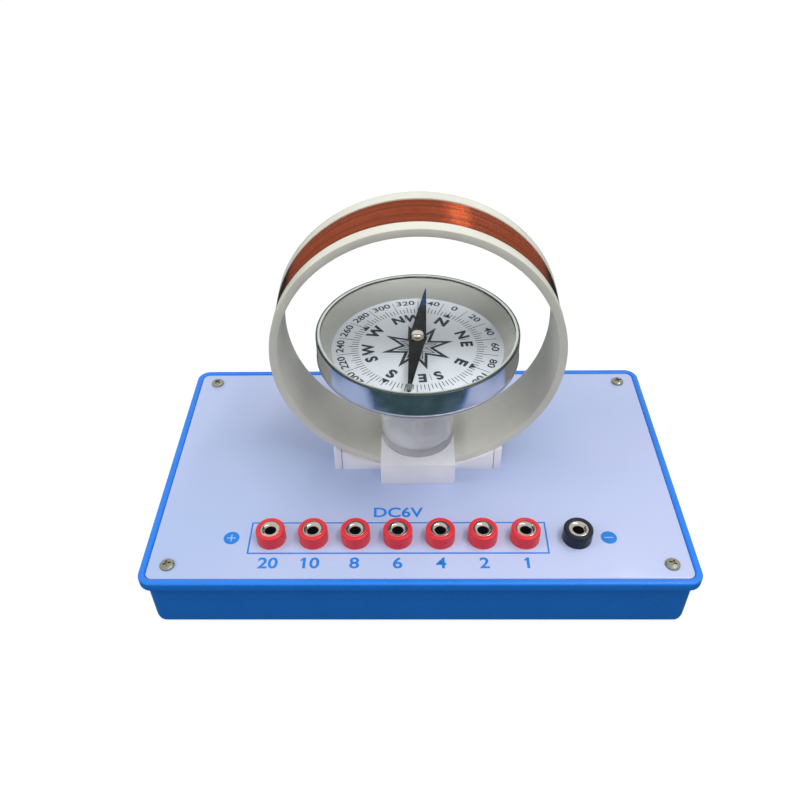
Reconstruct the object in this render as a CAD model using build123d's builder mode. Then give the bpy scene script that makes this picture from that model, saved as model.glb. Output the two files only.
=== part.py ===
from build123d import *
from math import cos, pi, sin, sqrt
import os

# Tangent galvanometer for the classroom bench. A wire hoop stands upright on a socket base,
# and a magnetic compass sits on a clear stand at the middle of the hoop.
# Millimetres. The origin is the middle of the base's underside: X runs along the hoop,
# Y along the hoop's axis with the sockets on the -Y side, and Z is up.

# Base tray and top panel
BASE_LENGTH = 225.0
BASE_DEPTH = 134.0
BASE_HEIGHT = 29.6
RIM_CORNER = 6.0
RIM_HEIGHT = 4.5
RIM_BAND = 2.9
RIM_OVERHANG = 2.3
RIM_ROUNDING = 1.2
FOOT_ROUNDING = 1.0
TRAY_WALL = 2.5
TRAY_FLOOR = 2.5
PANEL_THICKNESS = 2.0
PANEL_SUNK = 0.4
PANEL_CLEARANCE = 0.15
PANEL_CORNER = 3.2
INNER_CORNER = 1.5

# Panel screws, into posts in the tray's corners
SCREW_INSET_X = 11.0
SCREW_INSET_Y = 9.7
SCREW_HEAD_RADIUS = 3.0
SCREW_HEAD_HEIGHT = 1.5
SCREW_SHANK_RADIUS = 1.4
SCREW_LENGTH = 12.0
SCREW_POINT = 1.2
SCREW_HOLE_CLEARANCE = 0.1
RECESS_SPAN = 3.0
RECESS_WIDTH = 0.75
RECESS_DEPTH = 0.9
POST_RADIUS = 4.2

# Sockets: one for each number of turns, and one that all turns share
SOCKET_TURNS = (20, 10, 8, 6, 4, 2, 1)
SOCKET_PITCH = 17.5
FIRST_SOCKET_X = -61.0
COMMON_SOCKET_X = 65.5
SOCKET_INSET = 23.6
PLUG_RADIUS = 2.0
PLUG_BORE_LENGTH = 20.0
FUNNEL_DEPTH = 1.5
FUNNEL_RADIUS = 3.55
SLEEVE_RADIUS = 3.0
SLEEVE_END = 1.5
SLEEVE_FLANGE_RADIUS = 4.1
SLEEVE_FLANGE = 1.1
SLEEVE_SUNK = 0.25
COLLAR_RADIUS = 6.1
COLLAR_HEIGHT = 6.2
COLLAR_ROUNDING = 0.7
FIT = 0.05
BUSH_SPIGOT_RADIUS = 4.2
BUSH_RADIUS = 5.6
BUSH_FLANGE = 2.0
TAG_RADIUS = 4.6
TAG_THICKNESS = 0.5
TAG_WIDTH = 3.0
TAG_REACH = 7.8
TAG_EYE_INSET = 1.9
NUT_FLATS = 8.0
NUT_HEIGHT = 2.4

# Hoop of the coil
HOOP_RADIUS = 60.1
HOOP_WALL = 3.35
HOOP_WIDTH = 29.2
HOOP_Y = 12.3
HOOP_LIFT = 0.5
HOOP_EDGE = 0.35
GROOVE_DEPTH = 1.5
GROOVE_CLEARANCE = 0.23

# Winding in the hoop's groove
TURNS = 20
TURN_PITCH = 0.86
WIRE_RADIUS = 0.22
WIRE_SIDES = 8
WIRE_LIFT = 0.03
TAIL_BEND = 0.6
LEAD_RADIUS = 0.35
LEAD_BEND = 4.5
LEAD_TOP_LEVEL = 17.0
LEAD_STEP = 1.6
LEAD_KNEE_Y = -8.0
LEAD_KNEE_SHARE = 0.3
SLOT_HALF_WIDTH = 2.5
SLOT_MARGIN = 1.0
GAP_WINDOW = 10
GAP_STRIDE = 7

# Bridge over the foot of the hoop
BRIDGE_LENGTH = 32.4
BRIDGE_LEG = 10.4
BRIDGE_CROWN = 7.75
BRIDGE_EDGE = 0.8
HOOP_SIDE_CLEARANCE = 0.1
BRIDGE_SCREW_X = 10.0
BRIDGE_SCREW_DEPTH = 8.0

# Cradle of small plates under the hoop, each side of the bridge
CRADLE_LENGTH = 74.4
CRADLE_PLATE = 3.0
CRADLE_END_PLATE = 3.2
CRADLE_HEIGHT = 12.6
CRADLE_PROUD = 1.3
CRADLE_JOINT = 0.3
CRADLE_EDGE = 0.25

# Clear stand
STAND_RADIUS = 16.2
STAND_WALL = 2.0
STAND_FLOOR = 3.0
STAND_Y = 8.2
STAND_EDGE = 0.3
STAND_SCREW_GRIP = 4.5

# Compass
COMPASS_DROP = 5.7
COMPASS_RADIUS = 42.2
COMPASS_HEIGHT = 11.4
CASE_WALL = 0.7
CASE_FLOOR = 1.2
CASE_BEAD = 1.1
BEAD_PROUD = 0.35
DIAL_THICKNESS = 0.7
DIAL_SHOWN_RADIUS = 36.2
CARD_CLEARANCE = 0.15
SURROUND_TOP_WIDTH = 1.1
GLASS_THICKNESS = 1.0
GLASS_UNDER_RIM = 1.3
GLASS_EDGE = 0.2
CLIP_WIDTH = 1.0

# Needle, its cap and its pivot
NEEDLE_LENGTH = 73.6
NEEDLE_WIDTH = 7.2
NEEDLE_THICKNESS = 0.4
NEEDLE_TIP = 0.5
NEEDLE_DROP = 3.3
NEEDLE_ANGLE = 6.1
HUB_RADIUS = 1.8
HUB_CAP_RADIUS = 2.6
HUB_CAP_HEIGHT = 2.8
HUB_CAP_ROUNDING = 1.6
HUB_DROP = 1.6
JEWEL_RADIUS = 1.0
JEWEL_HEIGHT = 1.0
JEWEL_PIT_RADIUS = 0.75
JEWEL_PIT_DEPTH = 0.6
HUB_ROOF = 0.6
PIN_RADIUS = 0.6
PIN_FOOT_RADIUS = 2.0
PIN_FOOT_HEIGHT = 0.6
PIN_POINT_LENGTH = 1.4
PIN_POINT_RADIUS = 0.05
PIN_ROOT = 0.6
PIVOT_PLAY = 0.1

# Places worked out from the sizes above
PANEL_TOP = BASE_HEIGHT - PANEL_SUNK
PANEL_UNDER = PANEL_TOP - PANEL_THICKNESS
PANEL_LENGTH = BASE_LENGTH - 2 * RIM_BAND
PANEL_DEPTH = BASE_DEPTH - 2 * RIM_BAND
SCREW_X = BASE_LENGTH / 2 - SCREW_INSET_X
SCREW_Y = BASE_DEPTH / 2 - SCREW_INSET_Y
HOLE_RADIUS = SCREW_SHANK_RADIUS + SCREW_HOLE_CLEARANCE
SLEEVE_TOP = PANEL_TOP + COLLAR_HEIGHT - SLEEVE_SUNK
SLEEVE_SEAT = SLEEVE_TOP - SLEEVE_FLANGE
SLEEVE_FOOT = SLEEVE_TOP - FUNNEL_DEPTH - PLUG_BORE_LENGTH - SLEEVE_END
TAG_TOP = PANEL_UNDER - BUSH_FLANGE
TAG_UNDER = TAG_TOP - TAG_THICKNESS
SOCKET_Y = SOCKET_INSET - BASE_DEPTH / 2
TAG_EYE_Y = SOCKET_Y + TAG_REACH - TAG_EYE_INSET
HOOP_Z = PANEL_TOP + HOOP_LIFT + HOOP_RADIUS
HOOP_BORE = HOOP_RADIUS - HOOP_WALL
GROOVE_RADIUS = HOOP_RADIUS - GROOVE_DEPTH
GROOVE_WIDTH = TURNS * TURN_PITCH + 2 * WIRE_RADIUS + 2 * GROOVE_CLEARANCE
TURN_RADIUS = GROOVE_RADIUS + WIRE_RADIUS + WIRE_LIFT
FIRST_TURN_Y = HOOP_Y - TURNS * TURN_PITCH / 2
BRIDGE_SLOT = HOOP_WIDTH + 2 * HOOP_SIDE_CLEARANCE
BRIDGE_DEPTH = BRIDGE_SLOT + 2 * BRIDGE_LEG
BRIDGE_TOP = PANEL_TOP + HOOP_LIFT + HOOP_WALL + BRIDGE_CROWN
LEG_Y = (BRIDGE_SLOT + BRIDGE_LEG) / 2
CRADLE_DEPTH = HOOP_WIDTH + 2 * CRADLE_PROUD
STAND_TOP = HOOP_Z - COMPASS_DROP
CASE_TOP = STAND_TOP + COMPASS_HEIGHT
CASE_BORE = COMPASS_RADIUS - CASE_WALL
CARD_RADIUS = CASE_BORE - CARD_CLEARANCE
CARD_UNDER = STAND_TOP + CASE_FLOOR
CARD_TOP = CARD_UNDER + DIAL_THICKNESS
GLASS_UNDER = CASE_TOP - GLASS_UNDER_RIM
GLASS_TOP = GLASS_UNDER + GLASS_THICKNESS
NEEDLE_Z = GLASS_UNDER - NEEDLE_DROP
NEEDLE_TOP = NEEDLE_Z + NEEDLE_THICKNESS / 2
HUB_UNDER = NEEDLE_Z - HUB_DROP
JEWEL_TOP = NEEDLE_TOP + HUB_CAP_HEIGHT - HUB_ROOF
JEWEL_UNDER = JEWEL_TOP - JEWEL_HEIGHT
PIN_TOP = JEWEL_UNDER + JEWEL_PIT_DEPTH - PIVOT_PLAY

SOCKETS = [(str(turns), FIRST_SOCKET_X + place * SOCKET_PITCH, turns)
           for place, turns in enumerate(SOCKET_TURNS)]
SOCKETS.append(("common", COMMON_SOCKET_X, 0))
SOCKET_SPOTS = [(x, SOCKET_Y) for name, x, turns in SOCKETS]


def keep(piece, name):
    """Label a finished piece and write it to its own file."""
    piece.label = name
    export_step(piece, f"parts/{name}.step")


def slab(length, depth, corner, bottom, top, mode=Mode.ADD):
    """A flat block with rounded corners, centred on the base's middle."""
    with BuildSketch(Plane.XY.offset(bottom)) as outline:
        RectangleRounded(length, depth, corner)
    extrude(outline.sketch, amount=top - bottom, mode=mode)


def screw_profile(seat, head_radius, head_height, shank_radius, length, facing):
    """Half section of a pan head screw in the XZ plane; facing is 1 for a head on top, -1 for below."""
    with BuildSketch(Plane.XZ) as half_section:
        with BuildLine():
            crown = seat + facing * head_height
            shoulder = seat + facing * head_height / 2
            tip = seat - facing * length
            TangentArc((0, crown), (head_radius, shoulder), tangent=(1, 0))
            Polyline((head_radius, shoulder), (head_radius, seat), (shank_radius, seat),
                     (shank_radius, tip + facing * SCREW_POINT), (shank_radius / 2, tip), (0, tip), (0, crown))
        make_face()
    revolve(half_section.sketch, axis=Axis.Z)


def cross_recess(crown, facing):
    """A cross sunk into a screw's head, which ends at the height crown."""
    with BuildSketch(Plane.XY.offset(crown)) as cross:
        Rectangle(RECESS_SPAN, RECESS_WIDTH)
        Rectangle(RECESS_WIDTH, RECESS_SPAN)
    extrude(cross.sketch, amount=-facing * RECESS_DEPTH, mode=Mode.SUBTRACT)


def disc_ring(outer, inner, bottom, top, centre=(0, 0)):
    """A flat ring standing on the height bottom."""
    with BuildSketch(Plane.XY.offset(bottom)) as ring:
        with Locations(centre):
            Circle(outer)
            Circle(inner, mode=Mode.SUBTRACT)
    extrude(ring.sketch, amount=top - bottom)


os.makedirs("parts", exist_ok=True)

# Base tray: a tub with a wider rim, a ledge for the panel and four screw posts
with BuildPart() as base_tray:
    body_length = BASE_LENGTH - 2 * RIM_OVERHANG
    body_depth = BASE_DEPTH - 2 * RIM_OVERHANG
    slab(body_length, body_depth, RIM_CORNER - RIM_OVERHANG / 2, 0, BASE_HEIGHT - RIM_HEIGHT)
    fillet(base_tray.faces().sort_by(Axis.Z)[0].edges(), FOOT_ROUNDING)
    slab(BASE_LENGTH, BASE_DEPTH, RIM_CORNER, BASE_HEIGHT - RIM_HEIGHT, BASE_HEIGHT)
    rim_edges = base_tray.faces().sort_by(Axis.Z)[-1].edges()
    fillet(rim_edges, RIM_ROUNDING)
    slab(body_length - 2 * TRAY_WALL, body_depth - 2 * TRAY_WALL, INNER_CORNER, TRAY_FLOOR, BASE_HEIGHT,
         Mode.SUBTRACT)
    slab(PANEL_LENGTH, PANEL_DEPTH, PANEL_CORNER, PANEL_UNDER, BASE_HEIGHT, Mode.SUBTRACT)
    with BuildSketch(Plane.XY.offset(TRAY_FLOOR)):
        with GridLocations(2 * SCREW_X, 2 * SCREW_Y, 2, 2):
            Circle(POST_RADIUS)
    extrude(amount=PANEL_UNDER - TRAY_FLOOR)
    with BuildSketch(Plane.XY.offset(PANEL_UNDER)):
        with GridLocations(2 * SCREW_X, 2 * SCREW_Y, 2, 2):
            Circle(HOLE_RADIUS)
    extrude(amount=-SCREW_LENGTH, mode=Mode.SUBTRACT)
keep(base_tray.part, "base_tray")

# Top panel: holes for the sockets and screws, and a slot for the leads under the hoop
with BuildPart() as top_panel:
    slab(PANEL_LENGTH - 2 * PANEL_CLEARANCE, PANEL_DEPTH - 2 * PANEL_CLEARANCE,
         PANEL_CORNER - PANEL_CLEARANCE, PANEL_UNDER, PANEL_TOP)
    with BuildSketch(Plane.XY.offset(PANEL_UNDER)):
        with GridLocations(2 * SCREW_X, 2 * SCREW_Y, 2, 2):
            Circle(HOLE_RADIUS)
        with Locations(*SOCKET_SPOTS):
            Circle(BUSH_SPIGOT_RADIUS + FIT)
        with Locations((0, HOOP_Y)):
            Rectangle(2 * SLOT_HALF_WIDTH, TURNS * TURN_PITCH + 2 * SLOT_MARGIN)
            with GridLocations(2 * BRIDGE_SCREW_X, 2 * LEG_Y, 2, 2):
                Circle(HOLE_RADIUS)
    extrude(amount=PANEL_THICKNESS, mode=Mode.SUBTRACT)
keep(top_panel.part, "top_panel")

# Panel screws: pan heads with a cross
with BuildPart() as panel_screw:
    screw_profile(PANEL_TOP, SCREW_HEAD_RADIUS, SCREW_HEAD_HEIGHT, SCREW_SHANK_RADIUS, SCREW_LENGTH, 1)
    cross_recess(PANEL_TOP + SCREW_HEAD_HEIGHT, 1)
with BuildPart() as panel_screws:
    with GridLocations(2 * SCREW_X, 2 * SCREW_Y, 2, 2):
        add(panel_screw.part)
keep(panel_screws.part, "panel_screws")

# Socket collars and sleeves, one of each at every socket
for name, x, turns in SOCKETS:
    with BuildPart() as collar:
        disc_ring(COLLAR_RADIUS, SLEEVE_RADIUS + FIT, PANEL_TOP, PANEL_TOP + COLLAR_HEIGHT, (x, SOCKET_Y))
        top_edges = collar.edges().filter_by(GeomType.CIRCLE).group_by(Axis.Z)[-1].sort_by(SortBy.RADIUS)
        fillet(top_edges[-1], COLLAR_ROUNDING)
        with BuildSketch(Plane.XY.offset(SLEEVE_SEAT)):
            with Locations((x, SOCKET_Y)):
                Circle(SLEEVE_FLANGE_RADIUS + FIT)
        extrude(amount=COLLAR_HEIGHT, mode=Mode.SUBTRACT)
    keep(collar.part, f"socket_collar_{name}")

    with BuildPart() as sleeve:
        with BuildSketch(Plane.XZ):
            with BuildLine():
                bore_top = SLEEVE_TOP - FUNNEL_DEPTH
                bore_foot = bore_top - PLUG_BORE_LENGTH
                Polyline((0, bore_foot), (PLUG_RADIUS, bore_foot), (PLUG_RADIUS, bore_top),
                         (FUNNEL_RADIUS, SLEEVE_TOP), (SLEEVE_FLANGE_RADIUS, SLEEVE_TOP),
                         (SLEEVE_FLANGE_RADIUS, SLEEVE_SEAT), (SLEEVE_RADIUS, SLEEVE_SEAT),
                         (SLEEVE_RADIUS, SLEEVE_FOOT), (0, SLEEVE_FOOT), (0, bore_foot))
            make_face()
        revolve(axis=Axis.Z)
    sleeve_part = sleeve.part.moved(Location((x, SOCKET_Y, 0)))
    keep(sleeve_part, f"socket_sleeve_{name}")

# Insulating bushes through the panel
with BuildPart() as socket_bushes:
    with BuildSketch(Plane.XY.offset(TAG_TOP)):
        with Locations(*SOCKET_SPOTS):
            Circle(BUSH_RADIUS)
    extrude(amount=BUSH_FLANGE)
    with BuildSketch(Plane.XY.offset(PANEL_UNDER)):
        with Locations(*SOCKET_SPOTS):
            Circle(BUSH_SPIGOT_RADIUS)
    extrude(amount=PANEL_THICKNESS)
    with BuildSketch(Plane.XY.offset(TAG_TOP)):
        with Locations(*SOCKET_SPOTS):
            Circle(SLEEVE_RADIUS + FIT)
    extrude(amount=PANEL_TOP - TAG_TOP, mode=Mode.SUBTRACT)
keep(socket_bushes.part, "socket_bushes")

# Solder tags, each with a tail towards the hoop
with BuildPart() as solder_tags:
    with BuildSketch(Plane.XY.offset(TAG_UNDER)):
        with Locations(*SOCKET_SPOTS):
            Circle(TAG_RADIUS)
            with Locations((0, TAG_REACH / 2)):
                RectangleRounded(TAG_WIDTH, TAG_REACH, TAG_WIDTH / 3)
            Circle(SLEEVE_RADIUS + FIT, mode=Mode.SUBTRACT)
    extrude(amount=TAG_THICKNESS)
keep(solder_tags.part, "solder_tags")

# Nuts that clamp the sockets
with BuildPart() as socket_nuts:
    with BuildSketch(Plane.XY.offset(TAG_UNDER)):
        with Locations(*SOCKET_SPOTS):
            RegularPolygon(NUT_FLATS / 2, 6, major_radius=False)
            Circle(SLEEVE_RADIUS + FIT, mode=Mode.SUBTRACT)
    extrude(amount=-NUT_HEIGHT)
keep(socket_nuts.part, "socket_nuts")

# Hoop: a plain ring about the Y axis with a shallow groove round its outside
HOOP_PLANE = Plane(origin=(0, HOOP_Y, HOOP_Z), x_dir=(1, 0, 0), z_dir=(0, -1, 0))
with BuildPart() as coil_former:
    with BuildSketch(HOOP_PLANE):
        Circle(HOOP_RADIUS)
        Circle(HOOP_BORE, mode=Mode.SUBTRACT)
    extrude(amount=HOOP_WIDTH / 2, both=True)
    chamfer(coil_former.edges().filter_by(GeomType.CIRCLE), HOOP_EDGE)
    with BuildSketch(HOOP_PLANE):
        Circle(HOOP_RADIUS + GROOVE_DEPTH)
        Circle(GROOVE_RADIUS, mode=Mode.SUBTRACT)
    extrude(amount=GROOVE_WIDTH / 2, both=True, mode=Mode.SUBTRACT)
keep(coil_former.part, "coil_former")


def turn_point(turn):
    """A point of the winding's centre line, with turn counted from the foot of the hoop."""
    angle = 2 * pi * turn
    return Vector(TURN_RADIUS * sin(angle), FIRST_TURN_Y + TURN_PITCH * turn,
                  HOOP_Z - TURN_RADIUS * cos(angle))


def turn_direction(turn):
    """The winding's direction at that point."""
    angle = 2 * pi * turn
    return Vector(TURN_RADIUS * cos(angle), TURN_PITCH / (2 * pi), TURN_RADIUS * sin(angle)).normalized()


def biarc(start, start_direction, end, end_direction):
    """Two arcs that leave start and reach end in the given directions. Adds them to the line in hand."""
    chord = end - start
    spread = 2 * (1 - start_direction.dot(end_direction))
    lean = 2 * chord.dot(start_direction + end_direction)
    reach = (sqrt(lean**2 + 4 * spread * chord.dot(chord)) - lean) / (2 * spread)
    middle = (start + end + (start_direction - end_direction) * reach) * 0.5
    middle_direction = ((end - end_direction * reach) - (start + start_direction * reach)).normalized()
    TangentArc(start, middle, tangent=start_direction)
    TangentArc(middle, end, tangent=middle_direction)


def least_gap(wire, loop_length, step, thickness):
    """Least gap between neighbouring loops of a wound wire, measured on points about step apart."""
    count = int(wire.length / step)
    points = [wire.position_at(place / count) for place in range(count + 1)]
    loop = round(loop_length / step)
    window = range(loop - GAP_WINDOW, loop + GAP_WINDOW)
    return min((points[here] - points[here + ahead]).length
               for here in range(0, count - loop, GAP_STRIDE)
               for ahead in window if here + ahead <= count) - thickness


# Winding: one wire, twenty turns side by side, with both tails bent down through the panel's slot
UP = Vector(0, 0, 1)
TAIL = 2 * WIRE_RADIUS
wire_start = turn_point(0) + Vector(-TAIL_BEND, 0, -TAIL_BEND)
wire_end = turn_point(TURNS) + Vector(TAIL_BEND, 0, -TAIL_BEND)
with BuildPart() as coil_winding:
    with BuildLine() as wire_path:
        Line(wire_start - UP * TAIL, wire_start)
        biarc(wire_start, UP, turn_point(0), turn_direction(0))
        for half in range(2 * TURNS):
            biarc(turn_point(half / 2), turn_direction(half / 2),
                  turn_point((half + 1) / 2), turn_direction((half + 1) / 2))
        biarc(turn_point(TURNS), turn_direction(TURNS), wire_end, -UP)
        Line(wire_end, wire_end - UP * TAIL)
    with BuildSketch(Plane(wire_start - UP * TAIL, z_dir=UP)) as wire_section:
        RegularPolygon(WIRE_RADIUS, WIRE_SIDES)
    sweep(path=wire_path.wire())
keep(coil_winding.part, "coil_winding")

wound = wire_path.wire()
gap = least_gap(wound, 2 * pi * TURN_RADIUS, TURN_PITCH, 2 * WIRE_RADIUS)
fill = coil_winding.part.volume / (wire_section.sketch.area * wound.length)
print(f"coil_winding: least gap {gap:.3f} mm, length {wound.length:.0f} mm, volume ratio {fill:.4f}")

# Leads from the winding's taps down through the slot and forward to the solder tags
with BuildPart() as tap_leads:
    for name, x, turns in sorted(SOCKETS, key=lambda socket: socket[2]):
        level = LEAD_TOP_LEVEL - LEAD_STEP * sorted([*SOCKET_TURNS, 0]).index(turns)
        tap = turn_point(turns)
        tap_x, tap_z = 0, tap.Z - WIRE_RADIUS
        if turns in (0, TURNS):
            tap_x = TAIL_BEND if turns else -TAIL_BEND
            tap_z = tap.Z - TAIL_BEND - TAIL
        with BuildLine() as lead_path:
            FilletPolyline((tap_x, tap.Y, tap_z), (tap_x, tap.Y, level),
                           (x * LEAD_KNEE_SHARE, LEAD_KNEE_Y, level), (x, TAG_EYE_Y, level),
                           (x, TAG_EYE_Y, TAG_UNDER), radius=LEAD_BEND)
        with BuildSketch(Plane((tap_x, tap.Y, tap_z), z_dir=-UP)):
            Circle(LEAD_RADIUS)
        sweep(path=lead_path.wire())
keep(tap_leads.part, "tap_leads")

# Bridge: a block that straddles the hoop and holds it down
with BuildPart() as compass_bridge:
    with BuildSketch(Plane.XY.offset(PANEL_TOP)):
        with Locations((0, HOOP_Y)):
            Rectangle(BRIDGE_LENGTH, BRIDGE_DEPTH)
    extrude(amount=BRIDGE_TOP - PANEL_TOP)
    fillet(compass_bridge.edges().filter_by(Axis.Z), BRIDGE_EDGE)
    with BuildSketch(HOOP_PLANE):
        Rectangle(2 * HOOP_RADIUS, 2 * (HOOP_RADIUS + HOOP_LIFT))
        Circle(HOOP_BORE - FIT, mode=Mode.SUBTRACT)
    extrude(amount=BRIDGE_SLOT / 2, both=True, mode=Mode.SUBTRACT)
    with BuildSketch(Plane.XY.offset(PANEL_TOP)):
        with Locations((0, HOOP_Y)):
            with GridLocations(2 * BRIDGE_SCREW_X, 2 * LEG_Y, 2, 2):
                Circle(HOLE_RADIUS)
    extrude(amount=BRIDGE_SCREW_DEPTH, mode=Mode.SUBTRACT)
    with BuildSketch(Plane.XY.offset(BRIDGE_TOP)):
        with Locations((0, STAND_Y)):
            Circle(HOLE_RADIUS)
    extrude(amount=-STAND_SCREW_GRIP, mode=Mode.SUBTRACT)
keep(compass_bridge.part, "compass_bridge")

# Bridge screws, from under the panel into the bridge's legs
with BuildPart() as bridge_screw:
    screw_profile(PANEL_UNDER, SCREW_HEAD_RADIUS, SCREW_HEAD_HEIGHT, SCREW_SHANK_RADIUS,
                  PANEL_THICKNESS + BRIDGE_SCREW_DEPTH, -1)
    cross_recess(PANEL_UNDER - SCREW_HEAD_HEIGHT, -1)
with BuildPart() as bridge_screws:
    with Locations((0, HOOP_Y)):
        with GridLocations(2 * BRIDGE_SCREW_X, 2 * LEG_Y, 2, 2):
            add(bridge_screw.part)
keep(bridge_screws.part, "bridge_screws")


def hoop_rest():
    """Cut the hoop's outside, with a little clearance, from the part in hand."""
    with BuildSketch(HOOP_PLANE) as outside:
        Circle(HOOP_RADIUS + HOOP_SIDE_CLEARANCE)
    extrude(outside.sketch, amount=CRADLE_DEPTH, both=True, mode=Mode.SUBTRACT)


# Cradle: on each side of the bridge, an end plate with a plate in front and one behind
plate_start = BRIDGE_LENGTH / 2 + CRADLE_JOINT
plate_end = CRADLE_LENGTH / 2 - CRADLE_END_PLATE - CRADLE_JOINT
plate_y = (CRADLE_DEPTH - CRADLE_PLATE) / 2
for side, hand in ((-1, "left"), (1, "right")):
    with BuildPart() as end_plate:
        with BuildSketch(Plane.XY.offset(PANEL_TOP)):
            with Locations((side * (CRADLE_LENGTH - CRADLE_END_PLATE) / 2, HOOP_Y)):
                Rectangle(CRADLE_END_PLATE, CRADLE_DEPTH)
        extrude(amount=CRADLE_HEIGHT)
        fillet(end_plate.edges().filter_by(Axis.Z), CRADLE_EDGE)
        hoop_rest()
    keep(end_plate.part, f"cradle_end_{hand}")
    for across, face in ((-1, "front"), (1, "back")):
        with BuildPart() as plate:
            with BuildSketch(Plane.XY.offset(PANEL_TOP)):
                with Locations((side * (plate_start + plate_end) / 2, HOOP_Y + across * plate_y)):
                    Rectangle(plate_end - plate_start, CRADLE_PLATE)
            extrude(amount=CRADLE_HEIGHT)
            hoop_rest()
        keep(plate.part, f"cradle_{face}_{hand}")

# Clear stand: an open cup on the bridge
with BuildPart() as compass_stand:
    disc_ring(STAND_RADIUS, STAND_RADIUS - STAND_WALL, BRIDGE_TOP, STAND_TOP, (0, STAND_Y))
    chamfer(compass_stand.edges().filter_by(GeomType.CIRCLE), STAND_EDGE)
    disc_ring(STAND_RADIUS - STAND_WALL, HOLE_RADIUS, BRIDGE_TOP, BRIDGE_TOP + STAND_FLOOR, (0, STAND_Y))
keep(compass_stand.part, "compass_stand")

with BuildPart() as stand_screw_form:
    screw_profile(BRIDGE_TOP + STAND_FLOOR, SCREW_HEAD_RADIUS, SCREW_HEAD_HEIGHT, SCREW_SHANK_RADIUS,
                  STAND_FLOOR + STAND_SCREW_GRIP, 1)
    cross_recess(BRIDGE_TOP + STAND_FLOOR + SCREW_HEAD_HEIGHT, 1)
with BuildPart() as stand_screw:
    with Locations((0, STAND_Y)):
        add(stand_screw_form.part)
keep(stand_screw.part, "stand_screw")

# Compass case: a shallow drum with a bead round its foot
with BuildPart() as compass_case:
    with BuildSketch(Plane.XZ):
        with BuildLine():
            bead_radius = COMPASS_RADIUS + BEAD_PROUD
            foot = COMPASS_RADIUS - CASE_BEAD / 2
            Polyline((0, STAND_TOP), (foot, STAND_TOP))
            ThreePointArc((foot, STAND_TOP), (bead_radius, STAND_TOP + CASE_BEAD / 2),
                          (COMPASS_RADIUS, STAND_TOP + CASE_BEAD))
            Polyline((COMPASS_RADIUS, STAND_TOP + CASE_BEAD), (COMPASS_RADIUS, CASE_TOP),
                     (CASE_BORE, CASE_TOP), (CASE_BORE, CARD_UNDER), (PIN_RADIUS + FIT, CARD_UNDER),
                     (PIN_RADIUS + FIT, CARD_UNDER - PIN_ROOT), (0, CARD_UNDER - PIN_ROOT),
                     (0, STAND_TOP))
        make_face()
    revolve(axis=Axis.Z)
COMPASS_PLACE = Location((0, HOOP_Y, 0))
keep(compass_case.part.moved(COMPASS_PLACE), "compass_case")

with BuildPart() as dial_card:
    disc_ring(CARD_RADIUS, PIN_RADIUS + FIT, CARD_UNDER, CARD_TOP, (0, HOOP_Y))
keep(dial_card.part, "dial_card")

# Sloping surround that holds the card down and carries the glass
with BuildPart() as dial_surround:
    with BuildSketch(Plane.XZ):
        with BuildLine():
            Polyline((DIAL_SHOWN_RADIUS, CARD_TOP), (CARD_RADIUS, CARD_TOP), (CARD_RADIUS, GLASS_UNDER),
                     (CARD_RADIUS - SURROUND_TOP_WIDTH, GLASS_UNDER), (DIAL_SHOWN_RADIUS, CARD_TOP))
        make_face()
    revolve(axis=Axis.Z)
keep(dial_surround.part.moved(COMPASS_PLACE), "dial_surround")

with BuildPart() as cover_glass:
    with BuildSketch(Plane.XY.offset(GLASS_UNDER)):
        with Locations((0, HOOP_Y)):
            Circle(CARD_RADIUS)
    extrude(amount=GLASS_THICKNESS)
    chamfer(cover_glass.edges().filter_by(GeomType.CIRCLE), GLASS_EDGE)
keep(cover_glass.part, "cover_glass")

with BuildPart() as glass_clip:
    disc_ring(CASE_BORE - FIT, CASE_BORE - CLIP_WIDTH, GLASS_TOP, CASE_TOP, (0, HOOP_Y))
keep(glass_clip.part, "glass_clip")

# Pivot pin: a foot on the card, a root in the case's floor and a fine point
with BuildPart() as pivot_pin:
    with BuildSketch(Plane.XZ):
        with BuildLine():
            foot_top = CARD_TOP + PIN_FOOT_HEIGHT
            root = CARD_UNDER - PIN_ROOT
            Polyline((0, root), (PIN_RADIUS, root), (PIN_RADIUS, CARD_TOP), (PIN_FOOT_RADIUS, CARD_TOP),
                     (PIN_FOOT_RADIUS, foot_top), (PIN_RADIUS, foot_top),
                     (PIN_RADIUS, PIN_TOP - PIN_POINT_LENGTH), (PIN_POINT_RADIUS, PIN_TOP), (0, PIN_TOP),
                     (0, root))
        make_face()
    revolve(axis=Axis.Z)
keep(pivot_pin.part.moved(COMPASS_PLACE), "pivot_pin")

# Needle: a long thin lozenge, turned a little from the hoop's axis
NEEDLE_PLACE = Location((0, HOOP_Y, 0), (0, 0, -NEEDLE_ANGLE))
with BuildPart() as needle:
    with BuildSketch(Plane.XY.offset(NEEDLE_Z - NEEDLE_THICKNESS / 2)):
        with BuildLine():
            half_width, half_length, half_tip = NEEDLE_WIDTH / 2, NEEDLE_LENGTH / 2, NEEDLE_TIP / 2
            Polyline((half_width, 0), (half_tip, half_length), (-half_tip, half_length), (-half_width, 0),
                     (-half_tip, -half_length), (half_tip, -half_length), (half_width, 0))
        make_face()
        Circle(HUB_RADIUS + FIT, mode=Mode.SUBTRACT)
    extrude(amount=NEEDLE_THICKNESS)
keep(needle.part.moved(NEEDLE_PLACE), "needle")

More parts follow.
